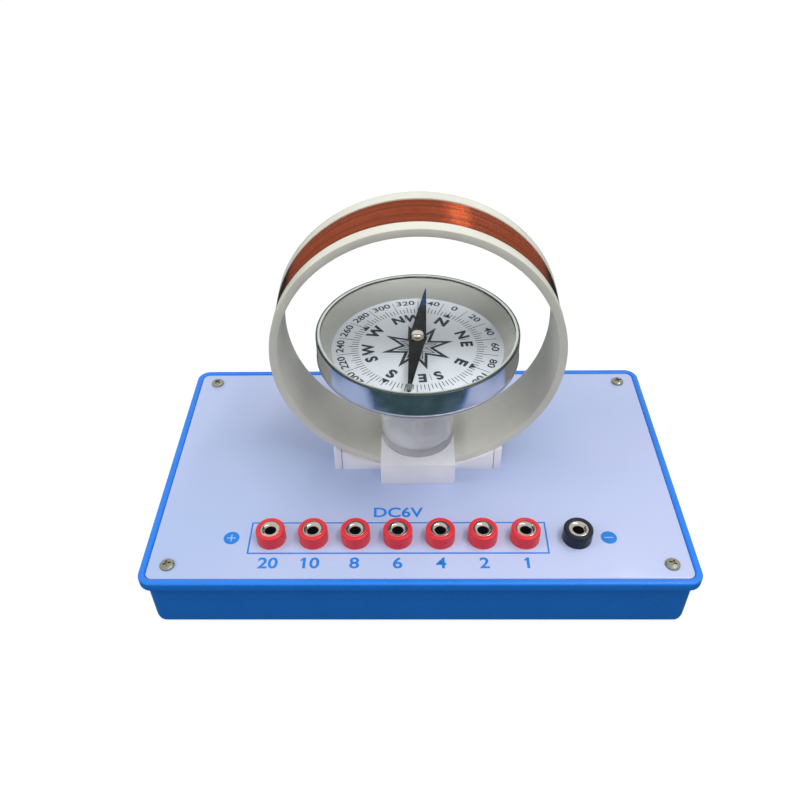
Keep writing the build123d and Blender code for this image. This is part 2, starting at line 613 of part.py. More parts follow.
with BuildPart() as needle_hub:
    with BuildSketch(Plane.XZ):
        with BuildLine():
            bore = JEWEL_RADIUS + FIT
            cap_top = NEEDLE_TOP + HUB_CAP_HEIGHT
            Polyline((0, JEWEL_TOP), (bore, JEWEL_TOP), (bore, HUB_UNDER), (HUB_RADIUS, HUB_UNDER),
                     (HUB_RADIUS, NEEDLE_TOP), (HUB_CAP_RADIUS, NEEDLE_TOP), (HUB_CAP_RADIUS, cap_top),
                     (0, cap_top), (0, JEWEL_TOP))
        make_face()
    revolve(axis=Axis.Z)
    cap_edge = needle_hub.edges().filter_by(GeomType.CIRCLE).group_by(Axis.Z)[-1]
    fillet(cap_edge, HUB_CAP_ROUNDING)
keep(needle_hub.part.moved(NEEDLE_PLACE), "needle_hub")

with BuildPart() as jewel_cup:
    with BuildSketch(Plane.XZ):
        with BuildLine():
            Polyline((0, JEWEL_TOP), (JEWEL_RADIUS, JEWEL_TOP), (JEWEL_RADIUS, JEWEL_UNDER),
                     (JEWEL_PIT_RADIUS, JEWEL_UNDER), (0, JEWEL_UNDER + JEWEL_PIT_DEPTH), (0, JEWEL_TOP))
        make_face()
    revolve(axis=Axis.Z)
keep(jewel_cup.part.moved(NEEDLE_PLACE), "jewel_cup")
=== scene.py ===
from math import atan2, cos, pi, radians, sin

import bmesh
import bpy
from mathutils import Matrix, Vector, noise


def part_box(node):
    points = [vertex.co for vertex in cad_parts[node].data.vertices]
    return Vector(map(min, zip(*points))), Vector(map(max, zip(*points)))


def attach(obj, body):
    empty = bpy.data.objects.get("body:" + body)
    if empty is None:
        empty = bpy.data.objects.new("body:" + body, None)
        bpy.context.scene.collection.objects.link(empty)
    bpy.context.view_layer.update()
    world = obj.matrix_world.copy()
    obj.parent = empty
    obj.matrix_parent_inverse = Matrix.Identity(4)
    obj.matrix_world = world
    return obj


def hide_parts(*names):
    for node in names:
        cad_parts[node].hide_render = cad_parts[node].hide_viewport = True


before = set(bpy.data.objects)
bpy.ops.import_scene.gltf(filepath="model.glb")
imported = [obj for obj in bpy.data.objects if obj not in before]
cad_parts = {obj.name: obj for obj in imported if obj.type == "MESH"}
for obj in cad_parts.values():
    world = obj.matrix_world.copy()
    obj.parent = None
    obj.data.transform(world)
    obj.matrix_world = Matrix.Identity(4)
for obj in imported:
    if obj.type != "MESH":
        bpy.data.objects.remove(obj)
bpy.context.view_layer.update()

# Tangent galvanometer: the dressed model round its fixed frame. Sizes below are millimetres.
MM = 0.001


def corners(node):
    """A frame node's lowest and highest corner, in millimetres."""
    low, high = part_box(node)
    return low / MM, high / MM


def centre_line(low, high):
    """The upright line through the middle of a node, given by its point at level 0."""
    return Vector(((low.x + high.x) / 2, (low.y + high.y) / 2, 0))


# Places taken from the frame
TRAY_LOW, TRAY_HIGH = corners("base_tray")
PANEL_LOW, PANEL_HIGH = corners("top_panel")
HOOP_LOW, HOOP_HIGH = corners("coil_former")
WIRE_LOW, WIRE_HIGH = corners("coil_winding")
BRIDGE_LOW, BRIDGE_HIGH = corners("compass_bridge")
STAND_LOW, STAND_HIGH = corners("compass_stand")
CASE_LOW, CASE_HIGH = corners("compass_case")
CARD_LOW, CARD_HIGH = corners("dial_card")
SURROUND_LOW, SURROUND_HIGH = corners("dial_surround")
GLASS_LOW, GLASS_HIGH = corners("cover_glass")
CLIP_LOW, CLIP_HIGH = corners("glass_clip")
NEEDLE_LOW, NEEDLE_HIGH = corners("needle")
HUB_LOW, HUB_HIGH = corners("needle_hub")
PANEL_TOP = PANEL_HIGH.z
HOOP_CENTRE = (HOOP_LOW + HOOP_HIGH) / 2
HOOP_RADIUS = (HOOP_HIGH.x - HOOP_LOW.x) / 2
HOOP_WIDTH = HOOP_HIGH.y - HOOP_LOW.y
COMPASS_AXIS = centre_line(CASE_LOW, CASE_HIGH)

# Camera
CAMERA_PLACE = Vector((-2.369, -259.885, 292.678))
CAMERA_DOWN = 40.922
CAMERA_TURN = 1.14
CAMERA_ROLL = -0.981
CAMERA_LENS = 36.466
CAMERA_SENSOR = 36

# Tray
RIM_OVERHANG = 2.3
RIM_HEIGHT = 4.5
RIM_CORNER = 6.0
BODY_CORNER = 4.85
PANEL_CORNER = 3.05
PANEL_GAP = 0.15
TRAY_WALL = 2.5
TRAY_FLOOR = 2.5
HOLLOW_CORNER = 1.5
FOOT_ROUND = 3.2
RIM_FOOT_ROUND = 0.5
RIM_TOP_ROUND = 1.0
PANEL_ROUND = 0.25

# Sockets
SOCKETS = ("20", "10", "8", "6", "4", "2", "1", "common")
SLEEVE_BORE = 2.0
SLEEVE_LIP = 3.9
SLEEVE_SHANK = 3.0
SLEEVE_END = 1.5
FLANGE_HEIGHT = 1.1
FUNNEL_DEPTH = 1.5
SLEEVE_GAP = 0.05
COLLAR_FOOT = 0.3
COLLAR_ROUND = 0.85
COLLAR_TAPER = 0.05
COLLAR_MOUTH = 0.25
EDGE_BREAK = 0.12

# Hoop and winding
HOOP_WALL = 3.35
GROOVE_DEPTH = 1.0
GROOVE_WIDTH = 18.1
TURNS = 20
FRAME_WIRE = 0.22
WIRE_RADIUS = 0.385
WIRE_BEND = 0.62
WIRE_STEPS = 96
WIRE_LIFT = 0.02
WIRE_SWAY = 0.05
SWAY_WAVES = 3
SWAY_ACROSS = 0.35

# Bridge, cradle and stand
SLOT_SPREAD = 24
SLOT_DEPTH = 20
SLOT_ROOF_GAP = 0.05
SLOT_SIDE_GAP = 0.1
BRIDGE_CORNER = 0.8
CRADLE_GAP = 0.1
STAND_WALL = 2.0
STAND_FLOOR = 3.0
STAND_ROUND = 1.0
SCREW_HOLE_GAP = 0.1

# Compass
CASE_WALL = 0.7
CASE_FLOOR = 1.2
BEAD_HEIGHT = 1.1
BEAD_PROUD = 0.35
BEAD_ROOT = 0.2
RIM_ROUND = 0.3
RIM_SHADE_BAND = 0.35
PIN_HOLE = 0.65
DIAL_RADIUS = 36.2
SURROUND_LIP = 1.1
CLIP_WIDTH = 1.0
NEEDLE_LENGTH = 73.6
NEEDLE_WIDTH = 7.2
NEEDLE_ANGLE = 6.1
NEEDLE_TIP = 0.5
BLUE_TIP = 13.8
CAP_BRIM = 1.3
CAP_SIDE = 0.5
CAP_ROOF = 0.6
HUB_RADIUS = 1.8
HUB_BORE = 1.05
BALANCE_AT = 32.6
BAND_WIDTH = 2.6
BAND_LENGTH = 4.0
BAND_WRAP = 0.25
BAND_TAPER = 0.75
DIAL_ANGLE = 30.8


# Finishes

def paint(red, green, blue):
    """A colour given as it looks on screen, 0 to 255, as the linear values that shaders take."""
    def linear(value):
        value /= 255
        return value / 12.92 if value <= 0.04045 else ((value + 0.055) / 1.055) ** 2.4
    return linear(red), linear(green), linear(blue), 1


def shade(colour, share):
    """The same colour, lighter or darker."""
    return *(min(1, part * share) for part in colour[:3]), 1


class Finish:
    """A material whose patterns are sized in millimetres on the piece itself."""

    def __init__(self, name, **values):
        self.material = bpy.data.materials.new(name)
        self.material.use_nodes = True
        self.nodes = self.material.node_tree.nodes
        self.links = self.material.node_tree.links
        self.shader = self.nodes["Principled BSDF"]
        self.output = self.nodes["Material Output"]
        for socket, value in values.items():
            self.shader.inputs[socket.replace("_", " ")].default_value = value
        self.coordinates = self.nodes.new("ShaderNodeTexCoord").outputs["Object"]

    def add(self, kind, links=(), **values):
        """A new node, with its sockets set by value or linked by name."""
        made = self.nodes.new("ShaderNode" + kind)
        for socket, value in values.items():
            made.inputs[socket.replace("_", " ")].default_value = value
        for socket, source in dict(links).items():
            self.links.new(source, made.inputs[socket])
        return made

    def cloud(self, size, detail=3, stretch=(1, 1, 1)):
        """Soft noise whose blotches are about size millimetres, longer where stretch is above 1."""
        scale = [1 / MM / size / share for share in stretch]
        mapping = self.add("Mapping", {"Vector": self.coordinates}, Scale=scale)
        return self.add("TexNoise", {"Vector": mapping.outputs[0]}, Scale=1, Detail=detail).outputs["Fac"]

    def between(self, pattern, low, high, start=0.35, end=0.65):
        """A value that follows a pattern from low to high."""
        made = self.add("MapRange", {"Value": pattern}, From_Min=start, From_Max=end, To_Min=low, To_Max=high)
        return made.outputs["Result"]

    def blend(self, pattern, first, second, start=0.35, end=0.65):
        """A colour that follows a pattern from the first colour to the second."""
        ramp = self.add("ValToRGB", {"Fac": pattern})
        ramp.color_ramp.elements[0].position = start
        ramp.color_ramp.elements[0].color = first
        ramp.color_ramp.elements[1].position = end
        ramp.color_ramp.elements[1].color = second
        return ramp.outputs["Color"]

    def mix(self, pattern, first, second):
        """A colour between two linked or plain colours."""
        made = self.nodes.new("ShaderNodeMix")
        made.data_type = "RGBA"
        self.links.new(pattern, made.inputs["Factor"])
        for socket, colour in ((6, first), (7, second)):
            if isinstance(colour, tuple):
                made.inputs[socket].default_value = colour
            else:
                self.links.new(colour, made.inputs[socket])
        return made.outputs[2]

    def edges(self, radius):
        """Where the surface turns round an edge within radius millimetres: 0 on flats, 1 on edges."""
        rounded = self.add("Bevel", Radius=radius * MM)
        true = self.nodes.new("ShaderNodeNewGeometry")
        across = self.nodes.new("ShaderNodeVectorMath")
        across.operation = "DOT_PRODUCT"
        self.links.new(rounded.outputs[0], across.inputs[0])
        self.links.new(true.outputs["Normal"], across.inputs[1])
        return self.between(across.outputs["Value"], 1, 0, 0.75, 0.995)

    def set(self, **sources):
        """Link patterns to the shader's sockets."""
        for socket, source in sources.items():
            self.links.new(source, self.shader.inputs[socket.replace("_", " ")])

    def relief(self, *patterns):
        """Bump from (pattern, depth in millimetres) pairs."""
        normal = None
        for pattern, depth in patterns:
            links = {"Height": pattern}
            if normal:
                links["Normal"] = normal
            normal = self.add("Bump", links, Strength=1, Distance=depth * MM).outputs[0]
        self.set(Normal=normal)


def moulded(name, colour, roughness, grain=0.5, depth=0.004, mottle=0.05, wear=0.0, worn=None, **values):
    """Moulded plastic: cloudy colour, patchy gloss, a fine grain and paler edges."""
    finish = Finish(name, **values)
    base = finish.blend(finish.cloud(14), shade(colour, 1 - mottle), shade(colour, 1 + mottle))
    if wear:
        rubbed = finish.between(finish.cloud(2.2), 0, wear)
        edge = finish.add("Math", {0: finish.edges(0.5), 1: rubbed})
        edge.operation = "MULTIPLY"
        base = finish.mix(edge.outputs[0], base, worn)
    finish.set(Base_Color=base)
    finish.set(Roughness=finish.between(finish.cloud(5, 4), roughness * 0.8, roughness * 1.25))
    finish.relief((finish.cloud(grain, 2), depth), (finish.cloud(9, 1), depth * 4))
    return finish.material


def bright_metal(name, colour, roughness, streak=(1, 1, 1), size=1.5, depth=0.002, **values):
    """Plated or rolled metal with fine streaks and faint tarnish."""
    finish = Finish(name, Metallic=1.0, **values)
    finish.set(Base_Color=finish.blend(finish.cloud(6, 5), shade(colour, 0.9), shade(colour, 1.05)))
    streaks = finish.cloud(size, 4, streak)
    finish.set(Roughness=finish.between(streaks, roughness * 0.7, roughness * 1.4))
    finish.relief((streaks, depth))
    return finish.material


def clear(name, colour, roughness, through, share=1.0, **values):
    """Clear plastic or glass that lets lamp light pass to what lies under it."""
    finish = Finish(name, Base_Color=colour, Transmission_Weight=share, **values)
    finish.set(Roughness=finish.between(finish.cloud(4, 3), roughness * 0.5, roughness * 1.5))
    path = finish.add("LightPath")
    passing = finish.add("BsdfTransparent", Color=through)
    mixed = finish.add("MixShader", {0: path.outputs["Is Shadow Ray"]})
    finish.links.new(finish.shader.outputs[0], mixed.inputs[1])
    finish.links.new(passing.outputs[0], mixed.inputs[2])
    finish.links.new(mixed.outputs[0], finish.output.inputs["Surface"])
    return finish.material


def pale_panel():
    """Pale printed sheet: a faint cloudy tint under a clear film with fine rubs."""
    finish = Finish("panel_sheet", Coat_Weight=0.3, Coat_Roughness=0.12)
    tint = finish.blend(finish.cloud(90, 2), paint(176, 193, 230), paint(190, 200, 235))
    specks = finish.between(finish.cloud(0.8, 2), 0, 0.35, 0.72, 0.8)
    finish.set(Base_Color=finish.mix(specks, tint, paint(176, 186, 214)))
    rubs = finish.cloud(1.6, 3, (6, 1, 1))
    finish.set(Roughness=finish.between(rubs, 0.31, 0.36))
    finish.relief((finish.cloud(0.35, 2), 0.002), (finish.cloud(30, 1), 0.03))
    return finish.material


def copper_enamel():
    """Enamelled copper: orange brown, each turn a little lighter or darker, with drawing marks."""
    finish = Finish("enamelled_copper", Metallic=1.0, Coat_Weight=0.14, Coat_Roughness=0.12)
    round_hoop = finish.cloud(1.1, 2, (900, 1, 900))
    turns = finish.blend(round_hoop, paint(122, 48, 16), paint(156, 66, 24), 0.4, 0.6)
    stains = finish.between(finish.cloud(5, 3), 0, 0.35, 0.5, 0.8)
    finish.set(Base_Color=finish.mix(stains, turns, paint(92, 36, 16)))
    finish.set(Roughness=finish.between(finish.cloud(2.5, 3), 0.14, 0.22))
    finish.relief((finish.cloud(0.25, 2, (6, 1, 6)), 0.004))
    return finish.material


def lacquered_steel(name, dark, light):
    """Lacquered needle steel: deep colour, a faint sheen and lengthwise marks."""
    finish = Finish(name, Specular_IOR_Level=0.06)
    finish.set(Base_Color=finish.blend(finish.cloud(3, 4), dark, light))
    finish.set(Roughness=finish.between(finish.cloud(1.5, 3, (1, 8, 1)), 0.14, 0.26))
    finish.relief((finish.cloud(5, 2), 0.004))
    return finish.material


TRAY_BLUE = moulded("tray_blue", paint(24, 128, 234), 0.32, grain=1.2, depth=0.0008, mottle=0.03, wear=0.3,
                    worn=paint(100, 180, 250))
PANEL_PALE = pale_panel()
PRINT_BLUE = moulded("print_blue", paint(24, 128, 222), 0.45, grain=0.3, mottle=0.08)
PRINT_PALE = moulded("print_pale", paint(150, 195, 240), 0.45, grain=0.3)
COLLAR_RED = moulded("collar_red", paint(228, 44, 54), 0.34, wear=0.25, worn=paint(244, 120, 115))
COLLAR_BLACK = moulded("collar_black", paint(16, 26, 42), 0.3, wear=0.3, worn=paint(60, 68, 86),
                       Specular_IOR_Level=0.3)
SLEEVE_NICKEL = bright_metal("sleeve_nickel", paint(188, 182, 172), 0.12)
# Near-black matte for the sleeves' bores: painted shade standing in for the dark inside of each hole.
PAINTED_BORE_SHADE = moulded("sleeve_bore_painted_shade", paint(22, 20, 20), 0.5, Specular_IOR_Level=0.2)
SCREW_NICKEL = bright_metal("screw_nickel", paint(150, 149, 134), 0.32)
STAND_SCREW = bright_metal("stand_screw", paint(205, 206, 212), 0.5)
HOOP_CREAM = moulded("hoop_cream", paint(227, 225, 211), 0.42, grain=0.7, depth=0.006, mottle=0.04, wear=0.3,
                     worn=paint(240, 240, 236))
COPPER = copper_enamel()
BLOCK_WHITE = moulded("block_white", paint(248, 248, 254), 0.35, wear=0.4, worn=paint(255, 255, 255))
STAND_CLEAR = clear("stand_clear", paint(252, 253, 255), 0.06, paint(250, 251, 254), share=0.72, IOR=1.12)
DRUM_METAL = bright_metal("drum_metal", paint(210, 212, 216), 0.17, size=6, depth=0.0001)
CLIP_GREY = bright_metal("clip_grey", paint(208, 213, 208), 0.14, depth=0.0005)
BEAD_GREY = bright_metal("bead_grey", paint(170, 172, 186), 0.45, size=4, depth=0.0001)
# Dark green-grey metal on the drum's rounded top rim: painted shade for the dark line along the rim.
RIM_PAINTED_SHADE = bright_metal("rim_painted_shade", paint(92, 102, 104), 0.2, depth=0.0005)
DIAL_WHITE = moulded("dial_white", paint(191, 193, 201), 0.6, grain=0.25, depth=0.003, mottle=0.02,
                     Specular_IOR_Level=0.2)
DIAL_BLACK = moulded("dial_black", paint(28, 38, 48), 0.6, grain=0.25, depth=0.002, Specular_IOR_Level=0.2)
DIAL_GREY = moulded("dial_grey", paint(148, 156, 164), 0.5, grain=0.25, depth=0.002)
SURROUND_GREY = moulded("surround_grey", paint(172, 171, 165), 0.5, grain=0.4, depth=0.006, mottle=0.03)
GLASS_CLEAR = clear("glass_clear", paint(252, 254, 253), 0.02, paint(248, 252, 250), IOR=1.12)
GLASS_EDGE = clear("glass_edge", paint(206, 218, 212), 0.2, paint(200, 214, 208), IOR=1.2)
NEEDLE_BLACK = lacquered_steel("needle_black", paint(8, 9, 10), paint(22, 23, 26))
NEEDLE_BLUE = lacquered_steel("needle_blue", paint(1, 36, 76), paint(2, 48, 96))
HUB_NICKEL = bright_metal("hub_nickel", paint(214, 206, 200), 0.1, depth=0.0005)
HUB_BRASS = moulded("hub_brass", paint(190, 178, 128), 0.35)
BALANCE_GREY = bright_metal("balance_grey", paint(118, 126, 118), 0.4)
HIDDEN = {
    "socket_bushes": moulded("bush_white", paint(225, 222, 212), 0.5),
    "solder_tags": bright_metal("tag_brass", paint(205, 175, 105), 0.3),
    "socket_nuts": bright_metal("nut_brass", paint(196, 164, 92), 0.25),
    "tap_leads": moulded("lead_cover", paint(190, 40, 40), 0.45),
    "bridge_screws": SCREW_NICKEL,
    "pivot_pin": bright_metal("pin_steel", paint(190, 192, 196), 0.12),
    "jewel_cup": moulded("jewel_red", paint(150, 20, 40), 0.08, Coat_Weight=1.0),
}


# Shapes

def rotate(bm, angle, axis="Z", points=None):
    """Turn a mesh, or some of its points, about an axis through the origin."""
    bmesh.ops.rotate(bm, cent=(0, 0, 0), matrix=Matrix.Rotation(angle, 3, axis), verts=points or bm.verts)


def move(bm, step, points=None):
    """Move a mesh, or some of its points."""
    bmesh.ops.translate(bm, vec=step, verts=points or bm.verts)


def points_of(parts):
    """The points among the parts that an operator gives back."""
    return [part for part in parts if isinstance(part, bmesh.types.BMVert)]


def bevel(bm, parts, radius, segments, affect="EDGES", clamp=False):
    """Round chosen edges or corners."""
    bmesh.ops.bevel(bm, geom=parts, offset=radius, offset_type="OFFSET", affect=affect, segments=segments,
                    profile=0.5, material=-1, clamp_overlap=clamp)


def soften(bm, radius, segments=2, sharper_than=30):
    """Round every edge that is sharper than an angle."""
    limit = radians(sharper_than)
    sharp = [edge for edge in bm.edges if edge.is_manifold and edge.calc_face_angle(0) > limit]
    bevel(bm, sharp, radius, segments, clamp=True)
    return bm


def merge(bm):
    """Join doubled points and turn every face outwards."""
    bmesh.ops.remove_doubles(bm, verts=bm.verts, dist=0.0005)
    bmesh.ops.recalc_face_normals(bm, faces=bm.faces)
    return bm


def arc(centre, radii, start, end, steps):
    """Points along part of an ellipse, from one angle to another, in degrees."""
    angles = [radians(start + (end - start) * step / steps) for step in range(steps + 1)]
    return [(centre[0] + radii[0] * cos(angle), centre[1] + radii[1] * sin(angle)) for angle in angles]


def lathe(profile, steps=96, place=(0, 0, 0), soft=0.0, segments=2):
    """Spin a closed half section of (radius, height) points round an upright axis at a place."""
    bm = bmesh.new()
    points = [bm.verts.new((radius, 0, height)) for radius, height in profile]
    pairs = zip(points, points[1:] + points[:1])
    sides = [bm.edges.new(pair) for pair in pairs if pair[0].co.x + pair[1].co.x > 0]
    bmesh.ops.spin(bm, geom=points + sides, cent=(0, 0, 0), axis=(0, 0, 1), angle=2 * pi, steps=steps,
                   use_merge=True)
    merge(bm)
    if soft:
        soften(bm, soft, segments)
    move(bm, place)
    return bm


def block(low, high):
    """A plain box between two corners."""
    bm = bmesh.new()
    bmesh.ops.create_cube(bm, size=1)
    bmesh.ops.scale(bm, vec=Vector(high) - Vector(low), verts=bm.verts)
    move(bm, (Vector(low) + Vector(high)) / 2)
    return bm


def outline(bm, length, depth, corner, level):
    """A flat face with rounded corners round the middle of the base."""
    known = set(bm.faces)
    points = bmesh.ops.create_grid(bm, x_segments=1, y_segments=1, size=0.5)["verts"]
    bmesh.ops.scale(bm, vec=(length, depth, 1), verts=points)
    move(bm, (0, 0, level), points)
    bevel(bm, points, corner, 10, affect="VERTICES")
    return (set(bm.faces) - known).pop()


OUTLINES_APART = 100


def stack(*sections):
    """A closed solid through rounded outlines of (length, depth, corner, level)."""
    # The outlines are made well apart and joined, and then each goes to its own level
    bm = bmesh.new()
    faces = [outline(bm, *section[:3], place * OUTLINES_APART) for place, section in enumerate(sections)]
    rings = [list(face.verts) for face in faces]
    for lower, upper in zip(faces, faces[1:]):
        bmesh.ops.bridge_loops(bm, edges=[*lower.edges, *upper.edges])
    bmesh.ops.delete(bm, geom=faces[1:-1], context="FACES_ONLY")
    for ring, section in zip(rings, sections):
        for point in ring:
            point.co.z = section[3]
    bmesh.ops.recalc_face_normals(bm, faces=bm.faces)
    return bm


def shown(bm, name):
    """A mesh as a new object."""
    mesh = bpy.data.meshes.new(name)
    bm.to_mesh(mesh)
    bm.free()
    made = bpy.data.objects.new(name, mesh)
    bpy.context.scene.collection.objects.link(made)
    return made


def carve(bm, cutter):
    """Cut one mesh out of another."""
    solid, tool = shown(bm, "solid"), shown(cutter, "tool")
    cut = solid.modifiers.new("cut", "BOOLEAN")
    cut.operation = "DIFFERENCE"
    cut.solver = "EXACT"
    cut.object = tool
    bpy.context.view_layer.update()
    result = bmesh.new()
    result.from_object(solid, bpy.context.evaluated_depsgraph_get())
    for used in (solid, tool):
        bpy.data.meshes.remove(used.data)
    return merge(result)


def join(target, source, place=(0, 0, 0), turn=0.0):
    """Add a copy of one mesh to another, turned about the upright axis and moved."""
    copy = source.copy()
    rotate(copy, turn)
    move(copy, place)
    mesh = bpy.data.meshes.new("copy")
    copy.to_mesh(mesh)
    copy.free()
    target.from_mesh(mesh)
    bpy.data.meshes.remove(mesh)


def piece(bm, name, body, finishes, replaced=(), crease=32):
    """Finish a mesh as a named piece of the object that rides on a body."""
    bmesh.ops.scale(bm, vec=(MM, MM, MM), verts=bm.verts)
    made = shown(bm, name)
    for finish in finishes:
        made.data.materials.append(finish)
    made.data.shade_smooth()
    made.data.set_sharp_from_angle(angle=radians(crease))
    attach(made, body)
    if replaced:
        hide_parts(*replaced)


# Base tray: a tub with a wider, rounded rim and a ledge for the panel

def make_tray():
    length, depth = TRAY_HIGH.x - TRAY_LOW.x, TRAY_HIGH.y - TRAY_LOW.y
    body = length - 2 * RIM_OVERHANG, depth - 2 * RIM_OVERHANG
    hollow = body[0] - 2 * TRAY_WALL, body[1] - 2 * TRAY_WALL
    opening = PANEL_HIGH.x - PANEL_LOW.x + 2 * PANEL_GAP, PANEL_HIGH.y - PANEL_LOW.y + 2 * PANEL_GAP
    rim_foot = TRAY_HIGH.z - RIM_HEIGHT
    bm = stack((*body, BODY_CORNER, 0), (*body, BODY_CORNER, rim_foot), (length, depth, RIM_CORNER, rim_foot),
               (length, depth, RIM_CORNER, TRAY_HIGH.z), (*opening, PANEL_CORNER + PANEL_GAP, TRAY_HIGH.z),
               (*opening, PANEL_CORNER + PANEL_GAP, PANEL_LOW.z), (*hollow, HOLLOW_CORNER, PANEL_LOW.z),
               (*hollow, HOLLOW_CORNER, TRAY_FLOOR))
    widths = {0: FOOT_ROUND, rim_foot: RIM_FOOT_ROUND, TRAY_HIGH.z: RIM_TOP_ROUND}
    for level, radius in widths.items():
        ring = [edge for edge in bm.edges if edge.calc_face_angle(0) > radians(60)
                and all(abs(end.co.z - level) < 0.01 for end in edge.verts)]
        bevel(bm, ring, radius, 4, clamp=True)
    piece(bm, "tray", "base", [TRAY_BLUE], ["base_tray"])


def make_panel():
    size = PANEL_HIGH - PANEL_LOW
    bm = stack((size.x, size.y, PANEL_CORNER, PANEL_LOW.z), (size.x, size.y, PANEL_CORNER, PANEL_TOP))
    soften(bm, PANEL_ROUND)
    piece(bm, "panel", "base", [PANEL_PALE], ["top_panel"])


# Screws: pan heads with a cross

HEAD_RADIUS = 3.0
HEAD_HEIGHT = 1.5
SHANK_RADIUS = 1.4
CROSS_SPAN = 3.2
CROSS_WIDTH = 0.8
CROSS_DEPTH = 0.9
HEAD_SIDE = 0.45
TIP_LENGTH = 1
TIP_RADIUS = 0.5
CORNER_SCREW = 12
STAND_SCREW_LENGTH = 7.5
SCREW_TURNS = (20, -35, 62, 8)
STAND_SCREW_TURN = 15


def screw(length):
    """A pan head screw standing on the level 0, with its shank below."""
    head = arc((0, HEAD_SIDE), (HEAD_RADIUS, HEAD_HEIGHT - HEAD_SIDE), 90, 0, 8)
    shank = [(HEAD_RADIUS, 0), (SHANK_RADIUS, 0), (SHANK_RADIUS, TIP_LENGTH - length), (TIP_RADIUS, -length)]
    bm = lathe([*head, *shank, (0, -length)], steps=48)
    for span in ((CROSS_SPAN, CROSS_WIDTH), (CROSS_WIDTH, CROSS_SPAN)):
        half = Vector((span[0] / 2, span[1] / 2, 0))
        bm = carve(bm, block(-half + Vector((0, 0, HEAD_HEIGHT - CROSS_DEPTH)), half + Vector((0, 0, 3))))
    return bm


def make_screws():
    low, high = corners("panel_screws")
    one, every = screw(CORNER_SCREW), bmesh.new()
    turns = iter(SCREW_TURNS)
    for x in (low.x + HEAD_RADIUS, high.x - HEAD_RADIUS):
        for y in (low.y + HEAD_RADIUS, high.y - HEAD_RADIUS):
            join(every, one, (x, y, PANEL_TOP), radians(next(turns)))
    one.free()
    piece(every, "corner_screws", "base", [SCREW_NICKEL], ["panel_screws"])
    low, high = corners("stand_screw")
    middle = centre_line(low, high)
    single = bmesh.new()
    seat = middle.x, middle.y, high.z - HEAD_HEIGHT
    join(single, screw(STAND_SCREW_LENGTH), seat, radians(STAND_SCREW_TURN))
    piece(single, "stand_fixing", "base", [STAND_SCREW], ["stand_screw"])


# Sockets: a plastic collar round a metal sleeve with a flared mouth

def make_sockets():
    for name in SOCKETS:
        low, high = corners(f"socket_collar_{name}")
        place = centre_line(low, high)
        outer, top = (high.x - low.x) / 2, high.z
        tube_low, tube_high = corners(f"socket_sleeve_{name}")
        lip = (tube_high.x - tube_low.x) / 2
        seat = tube_high.z - FLANGE_HEIGHT
        hole, well = SLEEVE_SHANK + SLEEVE_GAP, lip + SLEEVE_GAP
        rounding = COLLAR_ROUND - COLLAR_TAPER, COLLAR_ROUND
        collar = [(hole, low.z), (outer, low.z), (outer, low.z + COLLAR_FOOT)]
        collar += arc((outer - COLLAR_ROUND, top - COLLAR_ROUND), rounding, 0, 90, 6)
        collar += [(lip + COLLAR_MOUTH, top), (well, top - EDGE_BREAK), (well, seat), (hole, seat)]
        finish, slot = (COLLAR_BLACK, "collar_black") if name == "common" else (COLLAR_RED, "collar_red")
        piece(lathe(collar, 72, place), f"collar_{name}", "base", [finish], [f"socket_collar_{name}"])
        mouth, bore_top = tube_high.z, tube_high.z - FUNNEL_DEPTH
        sleeve = arc((SLEEVE_LIP, bore_top), (SLEEVE_LIP - SLEEVE_BORE, FUNNEL_DEPTH), 180, 90, 9)
        sleeve += [(lip, mouth - EDGE_BREAK), (lip, seat), (SLEEVE_SHANK, seat), (SLEEVE_SHANK, tube_low.z),
                   (0, tube_low.z), (0, tube_low.z + SLEEVE_END), (SLEEVE_BORE, tube_low.z + SLEEVE_END)]
        bm = lathe(sleeve, 64, place)
        # Bore faces below the flared mouth take the near-black finish: painted shade for the dark hole.
        for face in bm.faces:
            middle = face.calc_center_median()
            in_bore_shade = (middle - place).xy.length < SLEEVE_BORE + 0.1
            face.material_index = int(in_bore_shade and middle.z > tube_low.z + 1)
        piece(bm, f"sleeve_{name}", "base", [SLEEVE_NICKEL, PAINTED_BORE_SHADE],
              [f"socket_sleeve_{name}"], crease=40)


# Hoop and its winding

def upright(bm):
    """Turn a mesh from the upright axis to the hoop's axis and put it at the hoop's centre."""
    rotate(bm, pi / 2, "X")
    move(bm, HOOP_CENTRE)
    return bm


def make_hoop():
    half, groove = HOOP_WIDTH / 2, GROOVE_WIDTH / 2
    bore, floor = HOOP_RADIUS - HOOP_WALL, HOOP_RADIUS - GROOVE_DEPTH
    section = [(bore, -half), (HOOP_RADIUS, -half), (HOOP_RADIUS, -groove), (floor, -groove), (floor, groove),
               (HOOP_RADIUS, groove), (HOOP_RADIUS, half), (bore, half)]
    bm = upright(lathe(section, 192, soft=0.3, segments=3))
    piece(bm, "hoop", "base", [HOOP_CREAM], ["coil_former"])


